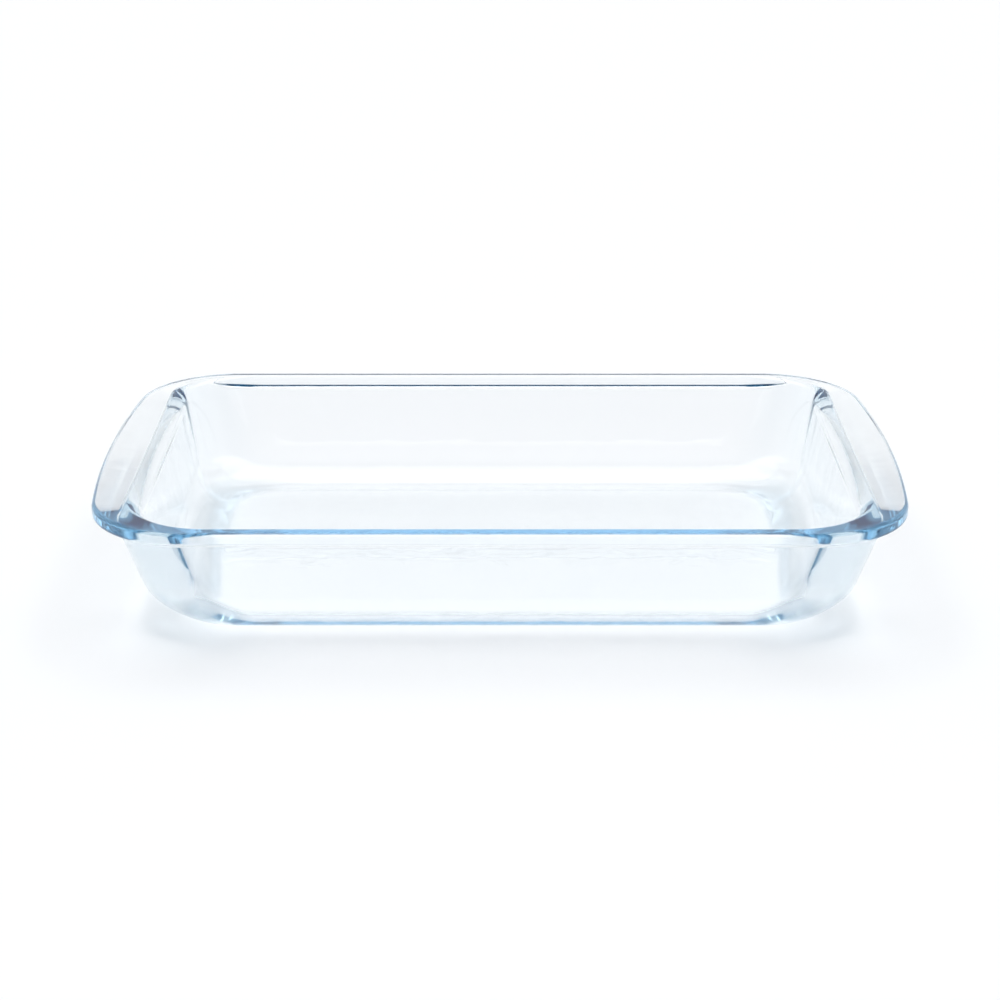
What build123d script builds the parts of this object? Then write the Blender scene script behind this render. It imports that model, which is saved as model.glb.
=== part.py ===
"""Clear pressed-glass baking dish with a grip flange at each end.

Millimetres. X runs along the dish, Y across it, +Z up. The origin is the centre of the foot.
The dish is one piece of glass: a drafted tub with a rim that is narrow along the sides and
widens into a bowed grip at each end.
"""
import os
from math import acos, cos, radians, sin, tan
from build123d import *

# Overall size
length = 354.0          # over the grips
width = 226.0           # over the rim
height = 53.0           # foot to rim top

# Rim outline and section
rim_corner = 45.0       # corner radius of the outline in plan
grip_bow = 690.0        # radius of the bowed grip edges in plan
rim_edge = 6.2          # thickness of the rim at its outer edge
rim_draft = 12.0        # slope of the rim's underside, in degrees
rim_round = 1.9         # rounding of the rim's outer edges
side_mouth_round = 1.5  # rounding of the mouth's edge along the sides
end_mouth_round = 7.0   # rounding of the mouth's edge at the ends
mouth_steps = 6         # flat bands that make up the mouth's rounding

# Outside of the tub
grip_reach = 16.8       # from the tub's outer end to the middle of the grip's edge
side_reach = 3.9        # from the tub's outer side to the rim's edge
draft = 13.6            # lean of the walls from upright, in degrees
shoulder_corner = 24.0  # corner radius at the level of the rim's lower edge
foot_corner = 36.0      # corner radius at the foot, before rounding
foot_round = 24.0       # rounding between wall and foot

# Inside of the tub
end_wall = 8.8          # thickness of the end walls, measured level
side_wall = 3.6         # thickness of the side walls, measured level
mouth_corner = 34.0     # corner radius of the inner walls at the rim top
pan_corner = 36.0       # corner radius at the floor, before rounding
pan_round = 20.0        # rounding between inner wall and floor
floor = 4.5             # thickness of the floor

slope = tan(radians(draft))
wall_turn = radians(90.0 - draft)
shoulder = height - rim_edge
shoulder_length = length - 2 * grip_reach
shoulder_width = width - 2 * side_reach
outer_lean = 2 * shoulder * slope
mouth_length = shoulder_length - 2 * end_wall + 2 * rim_edge * slope
mouth_width = shoulder_width - 2 * side_wall + 2 * rim_edge * slope
inner_lean = 2 * (height - floor) * slope
root_drop = grip_reach * tan(radians(rim_draft))
bow_centre = length / 2 - grip_bow


def mouth_offset(depth, radius):
    """How far the rounded mouth lies outside the wall's line at the rim top, at a depth."""
    if depth >= radius * (1 - cos(wall_turn)):
        return -depth * slope
    turn = acos(1 - depth / radius)
    return radius * (tan(wall_turn / 2) - sin(turn))


def mouth_section(depth):
    """Outline of the hollow at a depth below the rim top, in the rounding of the mouth."""
    at_end = mouth_offset(depth, end_mouth_round)
    at_side = mouth_offset(depth, side_mouth_round)
    fall = depth / (height - floor)
    wall_corner = mouth_corner + (pan_corner - mouth_corner) * fall
    corner = wall_corner + (at_end + at_side) / 2 + depth * slope
    RectangleRounded(mouth_length + 2 * at_end, mouth_width + 2 * at_side, corner)


def rim_quarter():
    """One quarter of the rim outline: half a side, a corner and half a bowed grip edge."""
    corner_y = width / 2 - rim_corner
    corner_x = bow_centre + ((grip_bow - rim_corner) ** 2 - corner_y**2) ** 0.5
    toward_corner = (Vector(corner_x, corner_y) - Vector(bow_centre, 0)).normalized()
    grip_start = Vector(bow_centre, 0) + toward_corner * grip_bow
    Line((0, width / 2), (corner_x, width / 2))
    RadiusArc((corner_x, width / 2), grip_start, rim_corner)
    RadiusArc(grip_start, (length / 2, 0), grip_bow)


with BuildPart() as tub:
    with BuildSketch():
        RectangleRounded(shoulder_length - outer_lean, shoulder_width - outer_lean, foot_corner)
    with BuildSketch(Plane.XY.offset(shoulder)):
        RectangleRounded(shoulder_length, shoulder_width, shoulder_corner)
    loft(ruled=True)
    fillet(tub.faces().sort_by(Axis.Z)[0].edges(), foot_round)

with BuildPart() as hollow:
    with BuildSketch(Plane.XY.offset(floor)):
        RectangleRounded(mouth_length - inner_lean, mouth_width - inner_lean, pan_corner)
    for step in range(mouth_steps, -1, -1):
        mouth_depth = end_mouth_round * (1 - cos(wall_turn * step / mouth_steps))
        with BuildSketch(Plane.XY.offset(height - mouth_depth)):
            mouth_section(mouth_depth)
    loft(ruled=True)
    fillet(hollow.faces().sort_by(Axis.Z)[0].edges(), pan_round)

with BuildSketch(Plane.XY.offset(shoulder)) as outline:
    with BuildLine():
        rim_quarter()
        mirror(about=Plane.YZ)
        mirror(about=Plane.XZ)
    make_face()

with BuildPart() as rim:
    add(outline.sketch)
    extrude(amount=rim_edge)
    add(outline.sketch)
    with BuildSketch(Plane.XY.offset(shoulder - root_drop)) as root:
        add(outline.sketch)
        offset(amount=-grip_reach)
    loft(ruled=True)
    around = rim.edges().filter_by_position(Axis.Z, shoulder, height)
    fillet(around, rim_round)

with BuildPart() as glass_dish:
    add(tub.part)
    add(rim.part)
    add(hollow.part, mode=Mode.SUBTRACT)

os.makedirs("parts", exist_ok=True)
glass_dish.part.label = "glass_dish"
export_step(glass_dish.part, "parts/glass_dish.step")
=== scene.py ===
"""Looks of the clear pressed-glass baking dish, in metres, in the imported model's frame.

The dish is one closed mesh. Its rings of points run from the middle of the foot, up the outside,
round the rim and down the inside to the middle of the pan's floor.
"""
from math import acos, atan2, cos, hypot, pi, radians, sin, sqrt, tan

import bmesh
import bpy
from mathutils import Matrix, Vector


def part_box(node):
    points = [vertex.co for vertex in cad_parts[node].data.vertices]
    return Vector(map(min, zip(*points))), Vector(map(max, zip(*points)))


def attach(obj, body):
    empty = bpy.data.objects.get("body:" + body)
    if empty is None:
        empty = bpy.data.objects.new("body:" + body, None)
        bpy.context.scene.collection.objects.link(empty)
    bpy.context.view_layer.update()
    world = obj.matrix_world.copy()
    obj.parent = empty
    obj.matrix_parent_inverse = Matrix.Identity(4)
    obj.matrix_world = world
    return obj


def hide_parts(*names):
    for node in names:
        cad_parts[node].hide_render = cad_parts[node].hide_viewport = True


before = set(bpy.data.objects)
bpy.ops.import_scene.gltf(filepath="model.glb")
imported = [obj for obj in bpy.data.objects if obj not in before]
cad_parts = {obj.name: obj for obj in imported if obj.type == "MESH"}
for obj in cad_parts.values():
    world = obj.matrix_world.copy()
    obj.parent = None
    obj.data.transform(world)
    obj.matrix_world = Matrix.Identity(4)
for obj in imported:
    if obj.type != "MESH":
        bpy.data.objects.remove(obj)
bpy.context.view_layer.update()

MM = 0.001

# The dish's own box gives its overall size
low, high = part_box("glass_dish")
HALF_LENGTH = (high[0] - low[0]) / 2
HALF_WIDTH = (high[1] - low[1]) / 2
HEIGHT = high[2] - low[2]

# Rim
RIM_CORNER = 45.0 * MM                   # corner radius of the outline in plan
GRIP_BOW = 690.0 * MM                    # radius of the bowed grip edges in plan
RIM_EDGE = 6.2 * MM                      # thickness at the outer edge
RIM_DRAFT = radians(12.0)                # slope of the underside
RIM_ROUND = 1.9 * MM                     # rounding of the outer edges

# Tub
DRAFT = radians(13.6)                    # lean of the walls from upright
SHOULDER = HEIGHT - RIM_EDGE             # level of the rim's lower edge
SHOULDER_X = HALF_LENGTH - 16.8 * MM
SHOULDER_Y = HALF_WIDTH - 3.9 * MM
SHOULDER_CORNER = 24.0 * MM
FOOT_CORNER, FOOT_ROUND = 36.0 * MM, 24.0 * MM
MOUTH_X = SHOULDER_X - 8.8 * MM + RIM_EDGE * tan(DRAFT)
MOUTH_Y = SHOULDER_Y - 3.6 * MM + RIM_EDGE * tan(DRAFT)
MOUTH_CORNER = 34.0 * MM
PAN_CORNER, PAN_ROUND = 36.0 * MM, 20.0 * MM
FLOOR = 4.5 * MM
SIDE_MOUTH_ROUND, END_MOUTH_ROUND = 1.5 * MM, 7.0 * MM
ROOT_ROUND = 2.0 * MM                    # rounding between the outer wall and the rim's underside

# Glass: its tint deepens with the glass that light crosses; pressing leaves slow waves and haze
GLASS_IOR = 1.474
GLASS_TINT = (0.10, 0.49, 0.70, 1.0)
TINT_DENSITY = 7.5
WAVE_SCALE = 45.0
WAVE_DETAIL = 2.0
WAVE_HEIGHT = 0.08 * MM
HAZE_SCALE = 18.0
HAZE_DETAIL = 3.0
HAZE_SPAN = (0.45, 0.75)                 # the noise's levels between clear and haziest
HAZE = 0.012

# Floor
FLOOR_HALF = 20.0
FLOOR_GAP = 0.2 * MM                     # keeps the floor and the foot from sharing a plane
FLOOR_WHITE = (0.93, 0.93, 0.93, 1.0)
GRAIN_SCALE = 120.0
GRAIN_DETAIL = 2.0
GRAIN_SPAN = (0.3, 0.7)
FLOOR_ROUGHNESS = (0.55, 0.65)

# Studio light, as world strengths; the softbox hangs overhead, a little behind
OVERHEAD = (0.0, 0.26, 0.966)
SOFTBOX_EDGE = (0.78, 0.88)              # cosines of the angle from its middle, outer edge to inner
SOFTBOX = 1.62
DIM_SIDE = (0.01, 0.06, 0.13, 1.0)
BACKDROP = (0.90, 0.90, 0.90, 1.0)
BACKDROP_EDGE = (-0.45, 0.0)             # Y of the directions from the dim side to the backdrop
BOUNCES = 200                            # light is guided a long way along the glass

# Camera
LENS, SENSOR = 83.58, 36.0               # millimetres
CAMERA_PITCH = radians(20)
CAMERA_DISTANCE = 1.0612

# Mesh density
SIDE_STEPS = 30                          # per quarter ring
CORNER_STEPS = 44
END_STEPS = 40
WALL_STEPS = 16                          # per stretch of the profile
UNDER_STEPS = 26
TOP_STEPS = 10
ROUND_STEPS = 14
BEND_STEPS = 28
ROOT_STEPS = 7
ROOT_TRIES = 6
LEVEL_INSETS = (12.0 * MM, 6.0 * MM, 3.0 * MM, 1.2 * MM, 0.4 * MM)
MOUTH_GAP = 0.01 * MM                    # least height between two rings of the mouth
WELD = 1e-7

BOW_CENTRE = HALF_LENGTH - GRIP_BOW
CORNER_Y = HALF_WIDTH - RIM_CORNER
CORNER_X = BOW_CENTRE + sqrt((GRIP_BOW - RIM_CORNER) ** 2 - CORNER_Y**2)
BOW_TURN = atan2(CORNER_Y, CORNER_X - BOW_CENTRE)
WALL_TURN = pi / 2 - DRAFT               # how far a rounding turns between a level face and a wall
TANGENT = tan(WALL_TURN / 2)             # tangent length of that rounding, for a radius of 1
ROOT_TURN = WALL_TURN - RIM_DRAFT        # how far the root turns from the wall to the underside
ROOT_REACH = ROOT_ROUND * tan(ROOT_TURN / 2)


def make_stations():
    """The stations of one ring: on a side, a corner or an end, in each of four quarters."""
    quarter = [("side", sin(pi / 2 * i / SIDE_STEPS)) for i in range(SIDE_STEPS)]
    quarter += [("corner", i / CORNER_STEPS) for i in range(CORNER_STEPS)]
    quarter += [("end", sin(pi / 2 * (1 - i / END_STEPS))) for i in range(END_STEPS + 1)]
    right = [(part, t, 1, 1) for part, t in quarter]
    right += [(part, t, 1, -1) for part, t in reversed(quarter[:-1])]
    left = [(part, t, -1, sign_y) for part, t, _, sign_y in reversed(right[1:-1])]
    return right + left


STATIONS = make_stations()


def turns(steps, whole):
    """Even steps from nothing to a whole turn."""
    return [whole * i / steps for i in range(steps + 1)]


def eased(i, steps):
    """A share from 0 to 1 that is close-stepped at both ends."""
    return 0.5 - 0.5 * cos(pi * i / steps)


def tub_point(station, half_x, half_y, corner):
    """A station's place on a rounded rectangle."""
    part, t, sign_x, sign_y = station
    side_x, end_y = half_x - corner, half_y - corner
    if part == "side":
        x, y = side_x * t, half_y
    elif part == "corner":
        x, y = side_x + corner * sin(pi / 2 * t), end_y + corner * cos(pi / 2 * t)
    else:
        x, y = half_x, end_y * t
    return Vector((x * sign_x, y * sign_y))


def outward(station):
    """A station's outward direction in plan, on the tub."""
    part, t, sign_x, sign_y = station
    turn = {"side": 0.0, "corner": pi / 2 * t, "end": pi / 2}[part]
    return Vector((sin(turn) * sign_x, cos(turn) * sign_y))


def rim_point(station, inset):
    """A station's place on the rim's outline, moved in by the inset."""
    part, t, sign_x, sign_y = station
    if part == "side":
        x, y = CORNER_X * t, HALF_WIDTH - inset
    elif part == "corner":
        turn = (pi / 2 - BOW_TURN) * t
        radius = RIM_CORNER - inset
        x, y = CORNER_X + radius * sin(turn), CORNER_Y + radius * cos(turn)
    else:
        radius = GRIP_BOW - inset
        x, y = BOW_CENTRE + radius * cos(BOW_TURN * t), radius * sin(BOW_TURN * t)
    return Vector((x * sign_x, y * sign_y))


def rim_inset(place):
    """How far a place lies inside the rim's outline."""
    x, y = abs(place.x), abs(place.y)
    if x <= CORNER_X:
        return HALF_WIDTH - y
    if atan2(y, x - BOW_CENTRE) <= BOW_TURN:
        return GRIP_BOW - hypot(x - BOW_CENTRE, y)
    return RIM_CORNER - hypot(x - CORNER_X, y - CORNER_Y)


def underside(place):
    """Height of the rim's underside at a place; it drops from the edge to the root."""
    edge = HEIGHT - RIM_EDGE + RIM_ROUND * (1 - cos(RIM_DRAFT))
    return edge - (rim_inset(place) - RIM_ROUND * (1 - sin(RIM_DRAFT))) * tan(RIM_DRAFT)


def outer_point(station, z):
    """A station's place on the outer wall at height z."""
    lean = (SHOULDER - z) * tan(DRAFT)
    corner = FOOT_CORNER + (SHOULDER_CORNER - FOOT_CORNER) * z / SHOULDER
    return tub_point(station, SHOULDER_X - lean, SHOULDER_Y - lean, corner)


def inner_point(station, z):
    """A station's place on the inner wall at height z."""
    lean = (HEIGHT - z) * tan(DRAFT)
    rise = (z - FLOOR) / (HEIGHT - FLOOR)
    corner = PAN_CORNER + (MOUTH_CORNER - PAN_CORNER) * rise
    return tub_point(station, MOUTH_X - lean, MOUTH_Y - lean, corner)


def level_point(station, half_x, half_y, corner, shrink):
    """A station's place on a rounded rectangle, moved in evenly."""
    return tub_point(station, half_x - shrink, half_y - shrink, corner - shrink)


def bend_point(station, half_x, half_y, corners, radius, turn):
    """A place in the rounding between a level face and a wall, for a turn from the level face.

    The corner radius starts as an even offset of the level face and ends on the wall's own.
    """
    sharp, wall, wall_slope = corners
    whole = radius * sin(WALL_TURN)
    level = sharp - radius * TANGENT
    t = sin(turn) / sin(WALL_TURN)
    corner = level * (1 + 2 * t) * (1 - t) ** 2 + whole * t * (1 - t) ** 2
    corner += wall * t * t * (3 - 2 * t) - wall_slope * whole * t * t * (1 - t)
    shift = radius * (sin(turn) - TANGENT)
    return tub_point(station, half_x + shift, half_y + shift, corner)


def mouth_offset(depth, radius):
    """How far the rounded mouth lies outside the wall's line at the rim top, at a depth."""
    if depth >= radius * (1 - cos(WALL_TURN)):
        return -depth * tan(DRAFT)
    turn = acos(1 - depth / radius)
    return radius * (TANGENT - sin(turn))


def mouth_point(station, depth):
    """A station's place on the rounded mouth, at a depth below the rim top."""
    end, side = mouth_offset(depth, END_MOUTH_ROUND), mouth_offset(depth, SIDE_MOUTH_ROUND)
    fall = depth / (HEIGHT - FLOOR)
    corner = MOUTH_CORNER + (PAN_CORNER - MOUTH_CORNER) * fall
    corner += (end + side) / 2 + depth * tan(DRAFT)
    return tub_point(station, MOUTH_X + end, MOUTH_Y + side, corner)


def top_point(station, share):
    """A station's place on the level top, a share of the way from the rim's edge to the mouth."""
    return rim_point(station, RIM_ROUND).lerp(mouth_point(station, 0.0), share)


def root_of(station):
    """Where the outer wall would meet the rim's underside."""
    z = SHOULDER
    for _ in range(ROOT_TRIES):
        z = underside(outer_point(station, z))
    return outer_point(station, z), z


def ring(z, place_at, *details):
    """One ring of points at a height, from each station's place in plan."""
    places = [place_at(station, *details) for station in STATIONS]
    return [Vector((place.x, place.y, z)) for place in places]


def bend_rings(half_x, half_y, corner, growth, radius, base):
    """From inside a level face, round its edge, to the wall.

    The sizes are those of the sharp edge, and the wall's corner radius grows with height.
    """
    rings = []
    for inset in LEVEL_INSETS:
        shrink = radius * TANGENT + inset
        rings.append(ring(base, level_point, half_x, half_y, corner, shrink))
    rise = radius * (1 - cos(WALL_TURN))
    corners = (corner, corner + growth * rise, growth / tan(DRAFT))
    for turn in turns(BEND_STEPS, WALL_TURN):
        z = base + radius * (1 - cos(turn))
        rings.append(ring(z, bend_point, half_x, half_y, corners, radius, turn))
    return rings


def foot_rings():
    """From inside the foot, round its edge, to the outer wall."""
    lean = SHOULDER * tan(DRAFT)
    growth = (SHOULDER_CORNER - FOOT_CORNER) / SHOULDER
    return bend_rings(SHOULDER_X - lean, SHOULDER_Y - lean, FOOT_CORNER, growth, FOOT_ROUND, 0.0)


def outer_wall_rings(roots):
    """Up the outer wall, from the foot's rounding to the root's."""
    start_z = FOOT_ROUND * (1 - cos(WALL_TURN))
    rings = []
    for i in range(1, WALL_STEPS + 1):
        share = sin(pi / 2 * i / WALL_STEPS)
        points = []
        for station, (_, root_z) in zip(STATIONS, roots):
            z = start_z + (root_z - ROOT_REACH * cos(DRAFT) - start_z) * share
            place = outer_point(station, z)
            points.append(Vector((place.x, place.y, z)))
        rings.append(points)
    return rings


def root_rings(roots):
    """Round the root, from the outer wall into the rim's underside."""
    rings = []
    for turn in turns(ROOT_STEPS, ROOT_TURN)[1:]:
        along = -ROOT_REACH * sin(DRAFT) + ROOT_ROUND * (cos(DRAFT) - cos(DRAFT + turn))
        up = -ROOT_REACH * cos(DRAFT) + ROOT_ROUND * (sin(DRAFT + turn) - sin(DRAFT))
        points = []
        for station, (root, root_z) in zip(STATIONS, roots):
            place = root + outward(station) * along
            points.append(Vector((place.x, place.y, root_z + up)))
        rings.append(points)
    return rings


def under_rings(last_root):
    """Across the rim's underside, from the root to the rounding of its edge."""
    rings = []
    for i in range(1, UNDER_STEPS):
        share = eased(i, UNDER_STEPS)
        points = []
        for station, root in zip(STATIONS, last_root):
            end = rim_point(station, RIM_ROUND * (1 - sin(RIM_DRAFT)))
            place = root.to_2d().lerp(end, share)
            points.append(Vector((place.x, place.y, underside(place))))
        rings.append(points)
    return rings


def edge_rings():
    """Round the rim's outer edge, from below to the top face."""
    low_z, high_z = HEIGHT - RIM_EDGE + RIM_ROUND, HEIGHT - RIM_ROUND
    rings = []
    for turn in reversed(turns(ROUND_STEPS, pi / 2 - RIM_DRAFT)):
        rings.append(ring(low_z - RIM_ROUND * sin(turn), rim_point, RIM_ROUND * (1 - cos(turn))))
    for turn in turns(ROUND_STEPS, pi / 2):
        rings.append(ring(high_z + RIM_ROUND * sin(turn), rim_point, RIM_ROUND * (1 - cos(turn))))
    return rings


def mouth_depths():
    """Depths of the mouth's rings: close together where either rounding turns fast."""
    depths = {0.0}
    for radius, steps in ((SIDE_MOUTH_ROUND, ROUND_STEPS), (END_MOUTH_ROUND, BEND_STEPS)):
        depths.update(radius * (1 - cos(turn)) for turn in turns(steps, WALL_TURN)[1:])
    kept = []
    for depth in sorted(depths):
        if not kept or depth - kept[-1] > MOUTH_GAP:
            kept.append(depth)
    return kept


def top_rings():
    """Across the level top of the rim and round the mouth, down to the inner wall."""
    rings = [ring(HEIGHT, top_point, eased(i, TOP_STEPS)) for i in range(1, TOP_STEPS)]
    return rings + [ring(HEIGHT - depth, mouth_point, depth) for depth in mouth_depths()]


def cavity_rings():
    """Down the inner wall, round into the floor and a little way across it."""
    top_z = HEIGHT - END_MOUTH_ROUND * (1 - cos(WALL_TURN))
    low_z = FLOOR + PAN_ROUND * (1 - cos(WALL_TURN))
    rings = []
    for i in range(1, WALL_STEPS):
        z = top_z + (low_z - top_z) * eased(i, WALL_STEPS)
        rings.append(ring(z, inner_point, z))
    lean = (HEIGHT - FLOOR) * tan(DRAFT)
    growth = (MOUTH_CORNER - PAN_CORNER) / (HEIGHT - FLOOR)
    bend = bend_rings(MOUTH_X - lean, MOUTH_Y - lean, PAN_CORNER, growth, PAN_ROUND, FLOOR)
    return rings + bend[::-1]


def dish_rings():
    """Every ring of the dish, in order."""
    roots = [root_of(station) for station in STATIONS]
    rings = foot_rings() + outer_wall_rings(roots) + root_rings(roots)
    rings += under_rings(rings[-1])
    return rings + edge_rings() + top_rings() + cavity_rings()


def build_dish():
    """The dish: its rings joined by faces, and one flat face to close each end."""
    mesh = bmesh.new()
    rows = [[mesh.verts.new(point) for point in points] for points in dish_rings()]
    count = len(STATIONS)
    for lower, upper in zip(rows, rows[1:]):
        for i in range(count):
            j = (i + 1) % count
            mesh.faces.new((lower[i], lower[j], upper[j], upper[i]))
    mesh.faces.new(rows[0])
    mesh.faces.new(rows[-1])
    bmesh.ops.remove_doubles(mesh, verts=mesh.verts, dist=WELD)
    bmesh.ops.recalc_face_normals(mesh, faces=mesh.faces)
    data = bpy.data.meshes.new("dish")
    mesh.to_mesh(data)
    mesh.free()
    data.shade_smooth()
    return link_object("dish", data)


def link_object(name, data):
    """A new object in the scene."""
    made = bpy.data.objects.new(name, data)
    bpy.context.scene.collection.objects.link(made)
    return made


def new_material(name):
    """A material, with its nodes and links."""
    material = bpy.data.materials.new(name)
    material.use_nodes = True
    return material, material.node_tree.nodes, material.node_tree.links


def add_ramp(nodes, links, source, span, levels):
    """A smooth step of a value over a span, from one level to another."""
    step = nodes.new("ShaderNodeMapRange")
    step.interpolation_type = "SMOOTHSTEP"
    step.inputs["From Min"].default_value = span[0]
    step.inputs["From Max"].default_value = span[1]
    step.inputs["To Min"].default_value = levels[0]
    step.inputs["To Max"].default_value = levels[1]
    links.new(source, step.inputs["Value"])
    return step.outputs["Result"]


def add_noise(nodes, links, scale, detail):
    """Noise that runs through the object's own space, with features of 1/scale metres."""
    place = nodes.new("ShaderNodeTexCoord").outputs["Object"]
    noise = nodes.new("ShaderNodeTexNoise")
    noise.inputs["Scale"].default_value = scale
    noise.inputs["Detail"].default_value = detail
    links.new(place, noise.inputs["Vector"])
    return noise.outputs["Fac"]


def add_bump(nodes, links, source, height):
    """Bumps of a height in metres, from a noise."""
    bump = nodes.new("ShaderNodeBump")
    bump.inputs["Strength"].default_value = 1.0
    bump.inputs["Distance"].default_value = height
    links.new(source, bump.inputs["Height"])
    return bump.outputs["Normal"]


def glass_material():
    """Clear glass, tinted by its depth, with the slow waves and faint haze of pressing."""
    material, nodes, links = new_material("clear_glass")
    shader = nodes["Principled BSDF"]
    shader.inputs["Base Color"].default_value = (1, 1, 1, 1)
    shader.inputs["Transmission Weight"].default_value = 1.0
    shader.inputs["IOR"].default_value = GLASS_IOR
    haze = add_noise(nodes, links, HAZE_SCALE, HAZE_DETAIL)
    links.new(add_ramp(nodes, links, haze, HAZE_SPAN, (0.0, HAZE)), shader.inputs["Roughness"])
    waves = add_noise(nodes, links, WAVE_SCALE, WAVE_DETAIL)
    links.new(add_bump(nodes, links, waves, WAVE_HEIGHT), shader.inputs["Normal"])
    depth = nodes.new("ShaderNodeVolumeAbsorption")
    depth.inputs["Color"].default_value = GLASS_TINT
    depth.inputs["Density"].default_value = TINT_DENSITY
    links.new(depth.outputs[0], nodes["Material Output"].inputs["Volume"])
    return material


def floor_material():
    """Matt white, with a fine grain in its roughness."""
    material, nodes, links = new_material("pale_floor")
    shader = nodes["Principled BSDF"]
    shader.inputs["Base Color"].default_value = FLOOR_WHITE
    grain = add_noise(nodes, links, GRAIN_SCALE, GRAIN_DETAIL)
    roughness = add_ramp(nodes, links, grain, GRAIN_SPAN, FLOOR_ROUGHNESS)
    links.new(roughness, shader.inputs["Roughness"])
    return material


def make_floor():
    """A plain pale floor, a hair below the foot."""
    size, z = FLOOR_HALF, -FLOOR_GAP
    corners = [(-size, -size, z), (size, -size, z), (size, size, z), (-size, size, z)]
    data = bpy.data.meshes.new("floor")
    data.from_pydata(corners, [], [(0, 1, 2, 3)])
    data.materials.append(floor_material())
    link_object("floor", data)


def light_scene():
    """A white studio: bright behind, brighter overhead and dim on the camera's side."""
    world = bpy.data.worlds.new("studio")
    bpy.context.scene.world = world
    world.use_nodes = True
    nodes, links = world.node_tree.nodes, world.node_tree.links
    direction = nodes.new("ShaderNodeTexCoord").outputs["Generated"]
    overhead = nodes.new("ShaderNodeVectorMath")
    overhead.operation = "DOT_PRODUCT"
    overhead.inputs[1].default_value = OVERHEAD
    links.new(direction, overhead.inputs[0])
    split = nodes.new("ShaderNodeSeparateXYZ")
    links.new(direction, split.inputs[0])
    toward_back = add_ramp(nodes, links, split.outputs["Y"], BACKDROP_EDGE, (0.0, 1.0))
    around = nodes.new("ShaderNodeMix")
    around.data_type = "RGBA"
    around.inputs["A"].default_value = DIM_SIDE
    around.inputs["B"].default_value = BACKDROP
    links.new(toward_back, around.inputs["Factor"])
    above = add_ramp(nodes, links, overhead.outputs["Value"], SOFTBOX_EDGE, (0.0, SOFTBOX))
    total = nodes.new("ShaderNodeVectorMath")
    total.operation = "ADD"
    links.new(around.outputs["Result"], total.inputs[0])
    links.new(above, total.inputs[1])
    links.new(total.outputs[0], nodes["Background"].inputs["Color"])
    nodes["Background"].inputs["Strength"].default_value = 1.0


def set_light_paths():
    """Let light follow the glass to its end, and keep the floor's white as it is."""
    scene = bpy.context.scene
    scene.view_settings.view_transform = "Standard"
    scene.cycles.max_bounces = BOUNCES
    scene.cycles.transmission_bounces = BOUNCES
    scene.cycles.glossy_bounces = BOUNCES
    scene.cycles.blur_glossy = 0.0


def place_camera():
    """A long lens that looks down on the middle of the dish from the front."""
    data = bpy.data.cameras.new("camera")
    data.lens = LENS
    data.sensor_width = SENSOR
    camera = link_object("camera", data)
    centre = Vector(((low[0] + high[0]) / 2, (low[1] + high[1]) / 2, HEIGHT / 2))
    back = Vector((0, -cos(CAMERA_PITCH), sin(CAMERA_PITCH)))
    camera.location = centre + CAMERA_DISTANCE * back
    camera.rotation_euler = (pi / 2 - CAMERA_PITCH, 0, 0)
    bpy.context.scene.camera = camera


dish = build_dish()
dish.data.materials.append(glass_material())
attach(dish, "root")
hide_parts("glass_dish")
make_floor()
light_scene()
set_light_paths()
place_camera()
